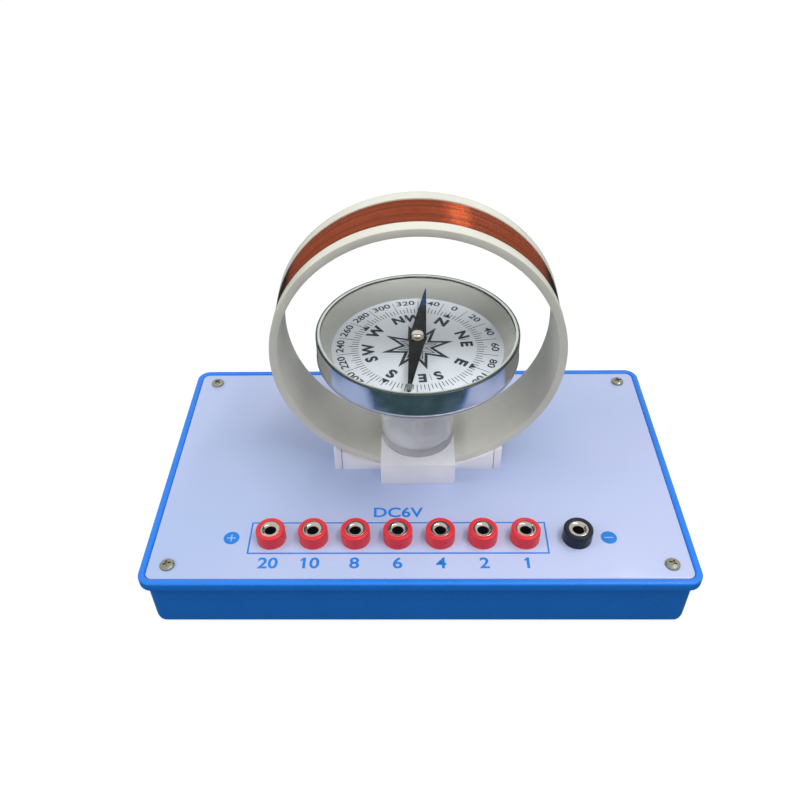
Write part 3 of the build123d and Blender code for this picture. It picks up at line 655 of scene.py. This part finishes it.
def make_winding():
    pitch = (WIRE_HIGH.y - WIRE_LOW.y - 2 * FRAME_WIRE) / TURNS
    radius = HOOP_RADIUS - GROOVE_DEPTH + WIRE_RADIUS + WIRE_LIFT
    tail = HOOP_CENTRE.z - radius - WIRE_BEND - WIRE_LOW.z
    bm = bmesh.new()
    ring = bmesh.ops.create_circle(bm, segments=10, radius=WIRE_RADIUS)["verts"]
    rotate(bm, pi / 2, "Y", ring)
    move(bm, (0, 0, -radius), ring)
    start = ring + list(bm.edges)
    wound = bmesh.ops.spin(bm, geom=start, cent=(0, 0, 0), axis=(0, -1, 0), angle=2 * pi * TURNS,
                           dvec=(0, pitch / WIRE_STEPS, 0), steps=WIRE_STEPS * TURNS)["geom_last"]
    for end, way, level in ((start, 1, 0), (wound, -1, pitch * TURNS)):
        bent = bmesh.ops.spin(bm, geom=end, cent=(0, level, -radius - WIRE_BEND), axis=(0, -way, 0),
                              angle=pi / 2, steps=5)["geom_last"]
        rim = [part for part in bent if isinstance(part, bmesh.types.BMEdge)]
        drawn = bmesh.ops.extrude_edge_only(bm, edges=rim)["geom"]
        move(bm, (0, 0, -tail), points_of(drawn))
    bmesh.ops.holes_fill(bm, edges=bm.edges, sides=12)
    for point in bm.verts:
        angle = atan2(point.co.x, -point.co.z)
        around = SWAY_WAVES * cos(angle), SWAY_WAVES * sin(angle)
        point.co.y += WIRE_SWAY * noise.noise(Vector((*around, point.co.y * SWAY_ACROSS)))
    bmesh.ops.recalc_face_normals(bm, faces=bm.faces)
    move(bm, HOOP_CENTRE - Vector((0, pitch * TURNS / 2, 0)))
    piece(bm, "copper_turns", "base", [COPPER], ["coil_winding"], crease=80)


# Bridge and cradle under the hoop

def ring_sector(inner, outer, width):
    """The lower part of a thick ring about the hoop's axis, which cuts the slot for the hoop."""
    bm = bmesh.new()
    spread = radians(SLOT_SPREAD)
    ends = [bm.verts.new((0, -width / 2, -radius)) for radius in (inner, outer)]
    side = bm.edges.new(ends)
    rotate(bm, spread, "Y", ends)
    bmesh.ops.spin(bm, geom=[*ends, side], cent=(0, 0, 0), axis=(0, -1, 0), angle=2 * spread, steps=48)
    grown = bmesh.ops.extrude_face_region(bm, geom=bm.faces)["geom"]
    move(bm, (0, width, 0), points_of(grown))
    bmesh.ops.recalc_face_normals(bm, faces=bm.faces)
    move(bm, HOOP_CENTRE)
    return bm


def make_bridge():
    bm = block(BRIDGE_LOW, BRIDGE_HIGH)
    uprights = [edge for edge in bm.edges if abs(edge.verts[0].co.z - edge.verts[1].co.z) > 1]
    bevel(bm, uprights, BRIDGE_CORNER, 5)
    inner = HOOP_RADIUS - HOOP_WALL - SLOT_ROOF_GAP
    slot = ring_sector(inner, HOOP_RADIUS + SLOT_DEPTH, HOOP_WIDTH + 2 * SLOT_SIDE_GAP)
    bm = soften(carve(bm, slot), 0.3)
    piece(bm, "bridge", "base", [BLOCK_WHITE], ["compass_bridge"])


def make_cradle():
    radius = HOOP_RADIUS + CRADLE_GAP
    for hand in ("left", "right"):
        for part in ("end", "front", "back"):
            name = f"cradle_{part}_{hand}"
            rest = bmesh.new()
            bmesh.ops.create_cone(rest, cap_ends=True, segments=256, radius1=radius, radius2=radius, depth=60)
            bm = soften(carve(block(*corners(name)), upright(rest)), 0.2)
            piece(bm, f"plate_{part}_{hand}", "base", [BLOCK_WHITE], [name])


def make_stand():
    outer = (STAND_HIGH.x - STAND_LOW.x) / 2
    inner, floor = outer - STAND_WALL, STAND_LOW.z + STAND_FLOOR
    hole = SHANK_RADIUS + SCREW_HOLE_GAP
    section = [(outer, STAND_LOW.z), (outer, STAND_HIGH.z), (inner, STAND_HIGH.z)]
    section += arc((inner - STAND_ROUND, floor + STAND_ROUND), (STAND_ROUND, STAND_ROUND), 0, -90, 5)
    section += [(hole, floor), (hole, STAND_LOW.z)]
    bm = lathe(section, 96, centre_line(STAND_LOW, STAND_HIGH), soft=0.25)
    piece(bm, "clear_stand", "base", [STAND_CLEAR], ["compass_stand"])


# Compass: drum, card, sloping ring, glass and its clip

def make_case():
    radius = (CASE_HIGH.x - CASE_LOW.x) / 2 - BEAD_PROUD
    bore = radius - CASE_WALL
    foot, top, floor = CASE_LOW.z, CASE_HIGH.z, CASE_LOW.z + CASE_FLOOR
    half = BEAD_HEIGHT / 2
    section = [(0, foot), (radius - half, foot)]
    section += arc((radius - BEAD_ROOT, foot + half), (BEAD_PROUD + BEAD_ROOT, half), -90, 75, 8)
    section += [(radius, foot + BEAD_HEIGHT + 0.1), (radius, foot + BEAD_HEIGHT + 0.35), (radius, top - 0.5)]
    section += arc((radius - RIM_ROUND, top - RIM_ROUND), (RIM_ROUND, RIM_ROUND), 0, 90, 4)
    section += [(bore + 0.1, top), (bore, top - 0.1), (bore, floor), (0, floor)]
    bm = lathe(section, 160, COMPASS_AXIS)
    # Faces in the top band take the dark rim finish, which is painted shade along the rim; faces of the foot
    # bead take the duller bead metal.
    for face in bm.faces:
        level = face.calc_center_median().z
        if level > top - RIM_SHADE_BAND:
            face.material_index = 1
        elif level < foot + BEAD_HEIGHT:
            face.material_index = 2
    piece(bm, "drum", "compass", [DRUM_METAL, RIM_PAINTED_SHADE, BEAD_GREY], ["compass_case"])


def make_card():
    radius = (CARD_HIGH.x - CARD_LOW.x) / 2
    section = [(PIN_HOLE, CARD_LOW.z), (radius, CARD_LOW.z), (radius, CARD_HIGH.z), (PIN_HOLE, CARD_HIGH.z)]
    piece(lathe(section, 96, COMPASS_AXIS), "card", "compass", [DIAL_WHITE], ["dial_card"])
    outer = (SURROUND_HIGH.x - SURROUND_LOW.x) / 2
    low, high = SURROUND_LOW.z, SURROUND_HIGH.z
    slope = [(DIAL_RADIUS, low), (outer, low), (outer, high), (outer - SURROUND_LIP, high)]
    bm = lathe(slope, 128, COMPASS_AXIS, soft=0.12)
    piece(bm, "sloping_ring", "compass", [SURROUND_GREY], ["dial_surround"])


def make_glass():
    radius = (GLASS_HIGH.x - GLASS_LOW.x) / 2
    low, high = GLASS_LOW.z, GLASS_HIGH.z
    bm = lathe([(0, low), (radius, low), (radius, high), (0, high)], 128, COMPASS_AXIS, soft=0.2, segments=1)
    for face in bm.faces:
        face.material_index = 1 if abs(face.normal.z) < 0.9 else 0
    piece(bm, "glass", "compass", [GLASS_CLEAR, GLASS_EDGE], ["cover_glass"])
    outer = (CLIP_HIGH.x - CLIP_LOW.x) / 2
    inner = outer - CLIP_WIDTH
    ring = [(inner, CLIP_LOW.z), (outer, CLIP_LOW.z), (outer, CLIP_HIGH.z - 0.25), (outer, CLIP_HIGH.z),
            (inner, CLIP_HIGH.z)]
    bm = lathe(ring, 160, COMPASS_AXIS, soft=0.06)
    piece(bm, "clip_ring", "compass", [CLIP_GREY], ["glass_clip"])


# Needle: a thin lozenge with a blue end, and its cap

def lay_along_needle(bm):
    """Turn a mesh from the Y axis to where the needle points at rest, on the compass's axis."""
    rotate(bm, radians(-NEEDLE_ANGLE))
    move(bm, COMPASS_AXIS)


def make_needle():
    half, side, tip = NEEDLE_LENGTH / 2, NEEDLE_WIDTH / 2, NEEDLE_TIP / 2
    low, high = NEEDLE_LOW.z, NEEDLE_HIGH.z
    bm = bmesh.new()
    plan = [(side, 0), (tip, half), (-tip, half), (-side, 0), (-tip, -half), (tip, -half)]
    face = bm.faces.new([bm.verts.new((x, y, low)) for x, y in plan])
    grown = bmesh.ops.extrude_face_region(bm, geom=[face])["geom"]
    move(bm, (0, 0, high - low), points_of(grown))
    soften(bm, 0.1)
    parts = [*bm.verts, *bm.edges, *bm.faces]
    bmesh.ops.bisect_plane(bm, geom=parts, plane_co=(0, half - BLUE_TIP, 0), plane_no=(0, 1, 0))
    bmesh.ops.recalc_face_normals(bm, faces=bm.faces)
    for face in bm.faces:
        face.material_index = 1 if face.calc_center_median().y > half - BLUE_TIP else 0
    lay_along_needle(bm)
    piece(bm, "needle_blade", "needle", [NEEDLE_BLACK, NEEDLE_BLUE], ["needle"])
    radius, top = (HUB_HIGH.x - HUB_LOW.x) / 2, HUB_HIGH.z
    brim = top - CAP_BRIM
    section = arc((0, brim), (radius, CAP_BRIM), 90, 0, 9)
    section += [(radius, brim - CAP_SIDE), (radius - 0.1, brim - CAP_SIDE - 0.05), (radius - 0.1, high),
                (HUB_RADIUS, high), (HUB_RADIUS, HUB_LOW.z), (HUB_BORE, HUB_LOW.z)]
    section += [(HUB_BORE, top - CAP_ROOF), (0, top - CAP_ROOF)]
    bm = lathe(section, 48, COMPASS_AXIS)
    for face in bm.faces:
        face.material_index = int(face.calc_center_median().z < brim - CAP_SIDE - 0.01)
    piece(bm, "needle_cap", "needle", [HUB_NICKEL, HUB_BRASS], ["needle_hub"])
    corner = Vector((BAND_WIDTH / 2, BAND_LENGTH / 2, (high - low) / 2 + BAND_WRAP))
    middle = Vector((0, 0, (low + high) / 2))
    bm = block(middle - corner, middle + corner)
    outer = [point for point in bm.verts if point.co.y < 0]
    bmesh.ops.scale(bm, vec=(BAND_TAPER, 1, 1), verts=outer)
    soften(bm, 0.2)
    move(bm, (0, -BALANCE_AT, 0))
    lay_along_needle(bm)
    piece(bm, "balance_band", "needle", [BALANCE_GREY])


# Print: thin raised ink on the panel and the card

INK = 0.03
CAP_HEIGHT = 0.7


def ink_words(target, words, height, place, turn=0.0, wide=1.0, weight=0.0):
    """Add printed words to a mesh, centred on a place, with capitals of a height."""
    curve = bpy.data.curves.new("words", "FONT")
    curve.body = words
    curve.size = height / CAP_HEIGHT
    curve.align_x = "CENTER"
    curve.align_y = "CENTER"
    curve.offset = weight
    curve.extrude = INK / 2
    curve.resolution_u = 4
    text = bpy.data.objects.new("words", curve)
    mesh = bpy.data.meshes.new_from_object(text)
    spans = [[point.co[axis] for point in mesh.vertices] for axis in (0, 1)]
    across, middle = ((max(span) + min(span)) / 2 for span in spans)
    mesh.transform(Matrix.Translation((-across, -middle, 0)))
    mesh.transform(Matrix.Diagonal((wide, 1, 1, 1)))
    mesh.transform(Matrix.Rotation(turn, 4, "Z"))
    mesh.transform(Matrix.Translation(Vector(place)))
    target.from_mesh(mesh)
    bpy.data.meshes.remove(mesh)
    bpy.data.curves.remove(curve)


def ink_bar(target, length, width, place, turn=0.0, level=0.0):
    """Add a straight printed line, lengthwise along Y before it is turned."""
    half = Vector((width / 2, length / 2, INK / 2))
    join(target, block(-half + Vector((0, 0, level)), half + Vector((0, 0, level))), place, turn)


def ink_disc(radius, steps):
    """A flat printed disc, or an arrowhead where it has three steps."""
    return lathe([(0, -INK / 2), (radius, -INK / 2), (radius, INK / 2), (0, INK / 2)], steps)


LEGEND_HEIGHT = 5.2
LEGEND_DROP = 12.8
LEGEND_WIDE = 1.12
RATING_X = -8.4
RATING_Y = -29.4
FLAG_LENGTH = 1.8
FLAG_WIDTH = 0.75
FLAG_SIDE = 0.7
FLAG_DROP = 0.85
FLAG_TURN = -50
TEN_SHIFT = 2.95
FRAME_LEFT = -70.0
FRAME_RIGHT = 53.0
FRAME_FRONT = -51.3
FRAME_BACK = -35.2
FRAME_LINE = 0.7
SIGN_RADIUS = 3.3
PLUS_X = -77.8
MINUS_X = 78.7
SIGN_Y = -43.3
SIGN_BAR = 3.6
SIGN_LINE = 0.5


def make_legend():
    level = PANEL_TOP + INK / 2
    bm = bmesh.new()
    for name in SOCKETS[:-1]:
        low, high = corners(f"socket_collar_{name}")
        place = centre_line(low, high) + Vector((0, -LEGEND_DROP, level))
        ink_words(bm, name, LEGEND_HEIGHT, place, wide=LEGEND_WIDE, weight=0.16)
        if name[0] == "1":
            side = FLAG_SIDE + TEN_SHIFT * (len(name) - 1)
            top = place + Vector((-side, LEGEND_HEIGHT / 2 - FLAG_DROP, 0.005))
            ink_bar(bm, FLAG_LENGTH, FLAG_WIDTH, top, radians(FLAG_TURN))
    ink_words(bm, "DC6V", LEGEND_HEIGHT, (RATING_X, RATING_Y, level), wide=LEGEND_WIDE, weight=0.14)
    middle = (FRAME_LEFT + FRAME_RIGHT) / 2, (FRAME_FRONT + FRAME_BACK) / 2
    for y in (FRAME_FRONT, FRAME_BACK):
        ink_bar(bm, FRAME_RIGHT - FRAME_LEFT + FRAME_LINE, FRAME_LINE, (middle[0], y, level), pi / 2)
    for x in (FRAME_LEFT, FRAME_RIGHT):
        ink_bar(bm, FRAME_BACK - FRAME_FRONT - FRAME_LINE, FRAME_LINE, (x, middle[1], level))
    signs = bmesh.new()
    for x, bars in ((PLUS_X, 2), (MINUS_X, 1)):
        join(bm, ink_disc(SIGN_RADIUS, 48), (x, SIGN_Y, level))
        for bar in range(bars):
            over = level + INK / 2 + 0.02 * bar
            ink_bar(signs, SIGN_BAR, SIGN_LINE, (x, SIGN_Y, over), pi / 2 * (bar + 1))
    piece(bm, "panel_print", "base", [PRINT_BLUE])
    piece(signs, "sign_print", "base", [PRINT_PALE])


# Dial print: degrees, points of the compass and a star

TICK_START = 24.9
TICK_FINE = 3.0
TICK_TEN = 4.2
TICKS = 108
TICK_WIDTH = 0.32
NUMBER_RING = 32.6
NUMBER_HEIGHT = 3.1
DIVIDER_LENGTH = 5.4
DIVIDER_WIDTH = 0.24
DIVIDER_INSET = 1.3
LETTER_HEIGHT = 4.8
LETTER_RING = 20.8
LETTER_SPREAD = 9.3
ARROW_RADIUS = 1.9
ARROW_OUT = 0.9
SPLIT_LENGTH = 3.8
SPLIT_WIDTH = 0.2
STAR_TIP = 15.7
STAR_VALLEY = 6.9
STAR_LINES = ((1.25, True), (0.6, False), (0.35, True))


def round_dial(angle, radius):
    """A place on the card, clockwise from its zero, and the turn that puts a mark's top outwards."""
    turn = radians(DIAL_ANGLE + angle)
    level = CARD_HIGH.z + INK / 2
    return (COMPASS_AXIS.x + radius * sin(turn), COMPASS_AXIS.y + radius * cos(turn), level), -turn


def make_dial():
    bm = bmesh.new()
    for tick in range(TICKS):
        reach = TICK_FINE if tick % 3 else TICK_TEN
        ink_bar(bm, reach, TICK_WIDTH, *round_dial(360 * tick / TICKS, TICK_START + reach / 2))
    for angle in range(0, 360, 20):
        ink_words(bm, str(angle), NUMBER_HEIGHT, *round_dial(angle, NUMBER_RING), wide=1.3, weight=0.08)
        ink_bar(bm, DIVIDER_LENGTH, DIVIDER_WIDTH, *round_dial(angle + 10, NUMBER_RING - DIVIDER_INSET))
    for angle, words in zip(range(0, 360, 45), ("N", "NE", "E", "SE", "S", "SW", "W", "NW")):
        place, turn = round_dial(angle, LETTER_RING)
        if len(words) == 1:
            ink_words(bm, words, LETTER_HEIGHT, place, turn, wide=1.1, weight=0.32)
            place, turn = round_dial(angle, TICK_START + ARROW_OUT)
            join(bm, ink_disc(ARROW_RADIUS, 3), place, turn + pi / 2)
        else:
            for letter, side in zip(words, (-1, 1)):
                spot = round_dial(angle + side * LETTER_SPREAD, LETTER_RING)
                ink_words(bm, letter, LETTER_HEIGHT, *spot, weight=0.3)
            ink_bar(bm, SPLIT_LENGTH, SPLIT_WIDTH, place, turn)
    piece(bm, "dial_print", "compass", [DIAL_BLACK])


def make_star():
    bm = bmesh.new()
    points = bmesh.ops.create_circle(bm, segments=16, radius=STAR_TIP, cap_ends=True)["verts"]
    for place, point in enumerate(points):
        if place % 2:
            point.co *= STAR_VALLEY / STAR_TIP
    heart = bm.faces[:][0]
    for inset, inked in STAR_LINES:
        ring = bmesh.ops.inset_region(bm, faces=[heart], thickness=inset, use_boundary=True,
                                      use_even_offset=True)["faces"]
        if not inked:
            bmesh.ops.delete(bm, geom=ring, context="FACES_ONLY")
    fan = bmesh.ops.poke(bm, faces=[heart])["faces"]
    fan.sort(key=lambda face: atan2(*face.calc_center_median().xy))
    bmesh.ops.delete(bm, geom=fan[::2], context="FACES_ONLY")
    for face in fan[1::2]:
        face.material_index = 1
    loose = [edge for edge in bm.edges if not edge.link_faces]
    bmesh.ops.delete(bm, geom=loose, context="EDGES")
    bmesh.ops.solidify(bm, geom=bm.faces, thickness=INK)
    bmesh.ops.recalc_face_normals(bm, faces=bm.faces)
    place, turn = round_dial(0, 0)
    rotate(bm, turn)
    move(bm, place)
    piece(bm, "dial_star", "compass", [DIAL_BLACK, DIAL_GREY])


# Stage: floor, world, lamps and camera

FLOOR_REACH = 4000
FLOOR_DROP = 0.05
LAMP_AIM = Vector((0, 0, 60))


def make_floor():
    bm = bmesh.new()
    bmesh.ops.create_grid(bm, x_segments=1, y_segments=1, size=FLOOR_REACH)
    move(bm, (0, 0, -FLOOR_DROP))
    bmesh.ops.scale(bm, vec=(MM, MM, MM), verts=bm.verts)
    floor = shown(bm, "floor")
    finish = Finish("floor_pale")
    path = finish.add("LightPath")
    seen = finish.add("Math", {0: path.outputs["Is Camera Ray"], 1: path.outputs["Is Transmission Ray"]})
    seen.operation = "MAXIMUM"
    glow = finish.add("Emission", Color=(0.9, 0.9, 0.9, 1))
    pale = finish.add("BsdfDiffuse", Color=(0.16, 0.16, 0.16, 1))
    bench = finish.add("Emission", Color=paint(64, 88, 94))
    both = finish.add("AddShader", {0: glow.outputs[0], 1: pale.outputs[0]})
    mirrored = path.outputs["Is Glossy Ray"]
    dark = finish.add("MixShader", {0: mirrored, 1: pale.outputs[0], 2: bench.outputs[0]})
    mixed = finish.add("MixShader", {0: seen.outputs[0], 1: dark.outputs[0], 2: both.outputs[0]})
    finish.links.new(mixed.outputs[0], finish.output.inputs["Surface"])
    floor.data.materials.append(finish.material)


def make_world():
    world = bpy.data.worlds.new("studio")
    bpy.context.scene.world = world
    world.use_nodes = True
    nodes, links = world.node_tree.nodes, world.node_tree.links
    fill = nodes["Background"]
    fill.inputs["Color"].default_value = (0.94, 0.96, 1.0, 1)
    fill.inputs["Strength"].default_value = 0.58
    white = nodes.new("ShaderNodeBackground")
    white.inputs["Color"].default_value = (1, 1, 1, 1)
    path = nodes.new("ShaderNodeLightPath")
    seen = path.outputs["Is Camera Ray"]
    for ray in ("Is Transmission Ray", "Is Glossy Ray"):
        both = nodes.new("ShaderNodeMath")
        both.operation = "MAXIMUM"
        links.new(seen, both.inputs[0])
        links.new(path.outputs[ray], both.inputs[1])
        seen = both.outputs[0]
    mixed = nodes.new("ShaderNodeMixShader")
    links.new(seen, mixed.inputs[0])
    links.new(fill.outputs[0], mixed.inputs[1])
    links.new(white.outputs[0], mixed.inputs[2])
    links.new(mixed.outputs[0], nodes["World Output"].inputs["Surface"])


def make_lamp(name, place, size, power, mirrored=True):
    """A soft lamp that faces the middle of the object; place and size in millimetres."""
    light = bpy.data.lights.new(name, "AREA")
    light.shape = "RECTANGLE"
    light.size, light.size_y = size[0] * MM, size[1] * MM
    light.energy = power
    lamp = bpy.data.objects.new(name, light)
    place = Vector(place)
    lamp.location = place * MM
    lamp.rotation_euler = (LAMP_AIM - place).to_track_quat("-Z", "Y").to_euler()
    lamp.visible_glossy = mirrored
    bpy.context.scene.collection.objects.link(lamp)


def make_camera():
    data = bpy.data.cameras.new("camera")
    data.lens = CAMERA_LENS
    data.sensor_width = CAMERA_SENSOR
    data.clip_start, data.clip_end = 0.01, 50
    camera = bpy.data.objects.new("camera", data)
    turned = Matrix.Rotation(radians(CAMERA_TURN), 4, "Z")
    tilted = Matrix.Rotation(radians(90 - CAMERA_DOWN), 4, "X")
    rolled = Matrix.Rotation(radians(CAMERA_ROLL), 4, "Z")
    camera.matrix_world = Matrix.Translation(CAMERA_PLACE * MM) @ turned @ tilted @ rolled
    bpy.context.scene.collection.objects.link(camera)
    bpy.context.scene.camera = camera


bpy.context.scene.view_settings.view_transform = "Standard"
make_camera()
make_world()
make_floor()
make_lamp("overhead", (350, -250, 1300), (900, 900), 4.6, mirrored=False)
make_lamp("left_window", (-1100, -300, 900), (300, 900), 4.2, mirrored=False)
make_lamp("ceiling_tube", (560, -150, 1300), (1100, 70), 4.4)
make_tray()
make_panel()
make_screws()
make_sockets()
make_hoop()
make_winding()
make_bridge()
make_cradle()
make_stand()
make_case()
make_card()
make_glass()
make_needle()
make_legend()
make_dial()
make_star()
for node, finish in HIDDEN.items():
    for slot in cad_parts[node].material_slots:
        slot.material = finish
